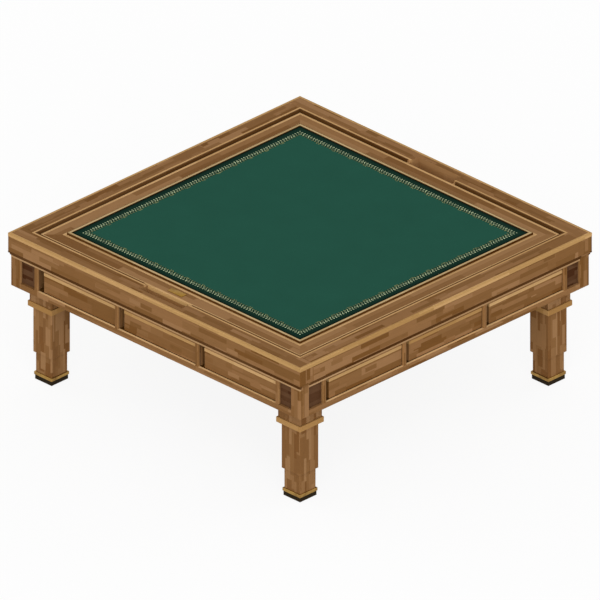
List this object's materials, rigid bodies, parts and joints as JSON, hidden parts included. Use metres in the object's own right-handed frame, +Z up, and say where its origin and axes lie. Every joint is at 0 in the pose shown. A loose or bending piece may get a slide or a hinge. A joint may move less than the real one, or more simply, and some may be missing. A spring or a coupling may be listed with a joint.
{
  "type": "mahjong table with drawers",
  "caption": "Low square floor-seated game table: baize field in a grooved wooden rim with wells, sliding drawers in every side, stepped square legs.",
  "frame": {"origin": "on the floor under the middle of the table", "axes": "+Z up, -Y towards the front side, the one with the small brass plate"},
  "size_m": [0.89, 0.89, 0.356],
  "materials": {
    "brown_wood": "satin oiled brown wood",
    "pale_wood": "satin pale lipping",
    "dark_wood": "dark stained wood",
    "drawer_wood": "bare drawer wood",
    "plywood": "unfinished plywood",
    "green_baize": "napped wool",
    "aged_brass": "aged brass",
    "black_foot": "matte black",
    "zinc_steel": "zinc plated"
  },
  "bodies": {
    "table": {"rim_long_boards": "brown_wood", "rim_side_boards": "brown_wood", "rim_lippings": "pale_wood", "groove_strips": "pale_wood", "groove_lining": "dark_wood", "inner_rails": "brown_wood", "inner_rail_edging": "pale_wood", "bead_risers": "dark_wood", "field_beads": "pale_wood", "playing_board": "plywood", "playing_cloth": "green_baize", "field_ledgers": "plywood", "cross_battens": "plywood", "brass_plaque": "aged_brass", "bed_plates": "brown_wood", "bed_mouldings": "dark_wood", "apron_top_beads": "pale_wood", "apron_rails": "brown_wood", "apron_stiles": "brown_wood", "corner_stiles": "brown_wood", "corner_panels": "dark_wood", "corner_blocks": "brown_wood", "carcass_rails": "dark_wood", "drawer_muntins": "brown_wood", "bottom_panel": "dark_wood", "bottom_cleats": "dark_wood", "drawer_guides": "dark_wood", "leg_bands": "pale_wood", "foot_bands": "aged_brass", "feet": "black_foot", "leg_bolts": "zinc_steel", "front_left_leg": "brown_wood", "front_right_leg": "brown_wood", "back_right_leg": "brown_wood", "back_left_leg": "brown_wood"},
    "front_left_drawer": {"front_left_drawer_front": "brown_wood", "front_left_drawer_box": "drawer_wood"},
    "front_middle_drawer": {"front_middle_drawer_front": "brown_wood", "front_middle_drawer_box": "drawer_wood"},
    "front_right_drawer": {"front_right_drawer_front": "brown_wood", "front_right_drawer_box": "drawer_wood"},
    "right_left_drawer": {"right_left_drawer_front": "brown_wood", "right_left_drawer_box": "drawer_wood"},
    "right_middle_drawer": {"right_middle_drawer_front": "brown_wood", "right_middle_drawer_box": "drawer_wood"},
    "right_right_drawer": {"right_right_drawer_front": "brown_wood", "right_right_drawer_box": "drawer_wood"},
    "back_left_drawer": {"back_left_drawer_front": "brown_wood", "back_left_drawer_box": "drawer_wood"},
    "back_middle_drawer": {"back_middle_drawer_front": "brown_wood", "back_middle_drawer_box": "drawer_wood"},
    "back_right_drawer": {"back_right_drawer_front": "brown_wood", "back_right_drawer_box": "drawer_wood"},
    "left_left_drawer": {"left_left_drawer_front": "brown_wood", "left_left_drawer_box": "drawer_wood"},
    "left_middle_drawer": {"left_middle_drawer_front": "brown_wood", "left_middle_drawer_box": "drawer_wood"},
    "left_right_drawer": {"left_right_drawer_front": "brown_wood", "left_right_drawer_box": "drawer_wood"}
  },
  "joints": [
    {"name": "front_left_drawer_slide", "type": "slide", "parent": "table", "child": "front_left_drawer", "axis": [0, -1, 0], "range_m": [0, 0.08]},
    {"name": "front_middle_drawer_slide", "type": "slide", "parent": "table", "child": "front_middle_drawer", "axis": [0, -1, 0], "range_m": [0, 0.2]},
    {"name": "front_right_drawer_slide", "type": "slide", "parent": "table", "child": "front_right_drawer", "axis": [0, -1, 0], "range_m": [0, 0.08]},
    {"name": "right_left_drawer_slide", "type": "slide", "parent": "table", "child": "right_left_drawer", "axis": [1, 0, 0], "range_m": [0, 0.08]},
    {"name": "right_middle_drawer_slide", "type": "slide", "parent": "table", "child": "right_middle_drawer", "axis": [1, 0, 0], "range_m": [0, 0.2]},
    {"name": "right_right_drawer_slide", "type": "slide", "parent": "table", "child": "right_right_drawer", "axis": [1, 0, 0], "range_m": [0, 0.08]},
    {"name": "back_left_drawer_slide", "type": "slide", "parent": "table", "child": "back_left_drawer", "axis": [0, 1, 0], "range_m": [0, 0.08]},
    {"name": "back_middle_drawer_slide", "type": "slide", "parent": "table", "child": "back_middle_drawer", "axis": [0, 1, 0], "range_m": [0, 0.2]},
    {"name": "back_right_drawer_slide", "type": "slide", "parent": "table", "child": "back_right_drawer", "axis": [0, 1, 0], "range_m": [0, 0.08]},
    {"name": "left_left_drawer_slide", "type": "slide", "parent": "table", "child": "left_left_drawer", "axis": [-1, 0, 0], "range_m": [0, 0.08]},
    {"name": "left_middle_drawer_slide", "type": "slide", "parent": "table", "child": "left_middle_drawer", "axis": [-1, 0, 0], "range_m": [0, 0.2]},
    {"name": "left_right_drawer_slide", "type": "slide", "parent": "table", "child": "left_right_drawer", "axis": [-1, 0, 0], "range_m": [0, 0.08]}
  ]
}
